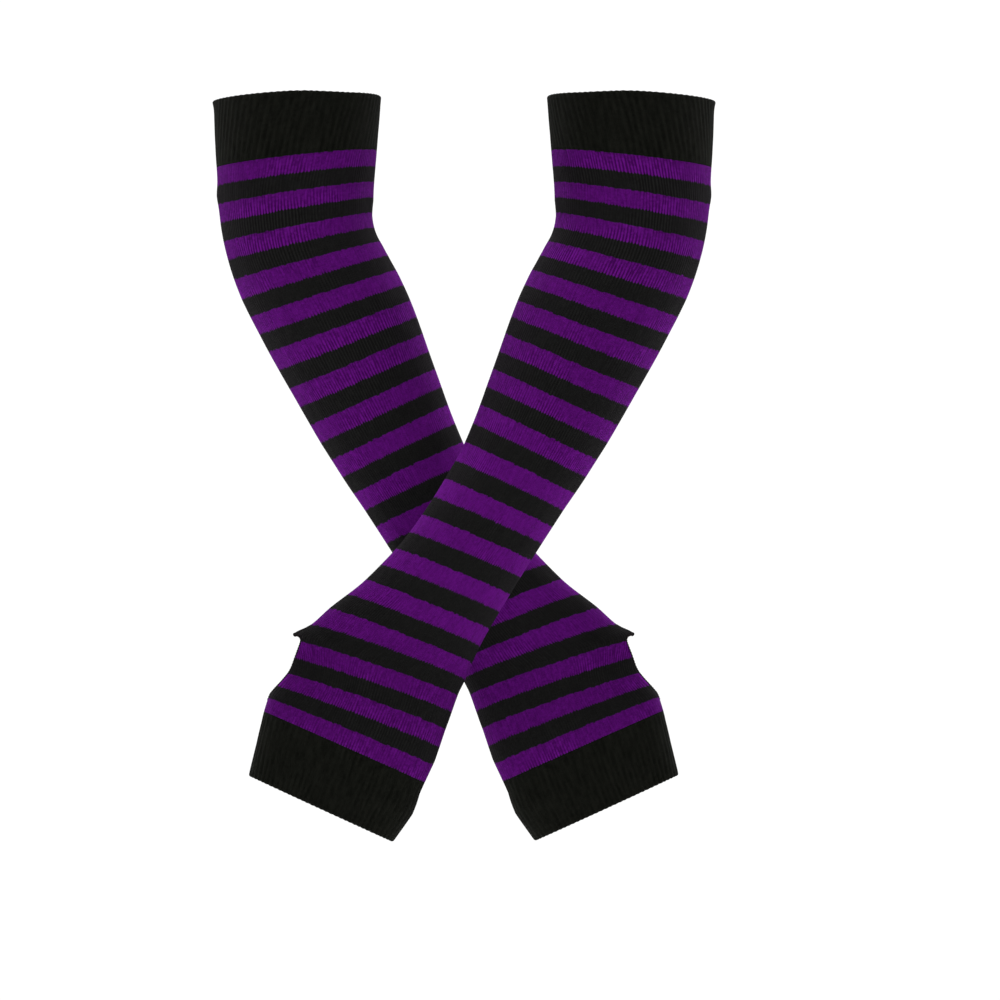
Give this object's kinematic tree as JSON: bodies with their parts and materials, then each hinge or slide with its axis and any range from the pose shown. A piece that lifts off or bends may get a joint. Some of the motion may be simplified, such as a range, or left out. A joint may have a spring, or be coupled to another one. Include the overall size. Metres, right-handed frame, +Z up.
{
  "type": "pair of knitted arm warmers",
  "caption": "Long fingerless arm warmers of striped fine knit, each a hollow tube with ribbed cuffs at both ends and a thumb slit, shaped as worn on crossed arms.",
  "frame": {"origin": "midway between the two top openings, where the wearer's upper arms hold the pair", "axes": "+Z up, towards the wearer's shoulders; -Y the front, where the backs of the hands face; +X the wearer's left"},
  "size_m": [0.255, 0.1025, 0.383],
  "materials": {
    "striped_knit": "fine plain knit in stripes of purple and black",
    "rib_knit": "black one by one rib knit",
    "overlock_thread": "black overlock stitches"
  },
  "bodies": {
    "root": {"left_top_cuff": "rib_knit", "left_sleeve_upper": "striped_knit", "left_sleeve_elbow": "striped_knit", "left_sleeve_forearm": "striped_knit", "left_sleeve_wrist": "striped_knit", "left_sleeve_hand": "striped_knit", "left_palm_cuff": "rib_knit", "left_thumb_edge": "overlock_thread", "right_top_cuff": "rib_knit", "right_sleeve_upper": "striped_knit", "right_sleeve_elbow": "striped_knit", "right_sleeve_forearm": "striped_knit", "right_sleeve_wrist": "striped_knit", "right_sleeve_hand": "striped_knit", "right_palm_cuff": "rib_knit", "right_thumb_edge": "overlock_thread"}
  },
  "joints": []
}
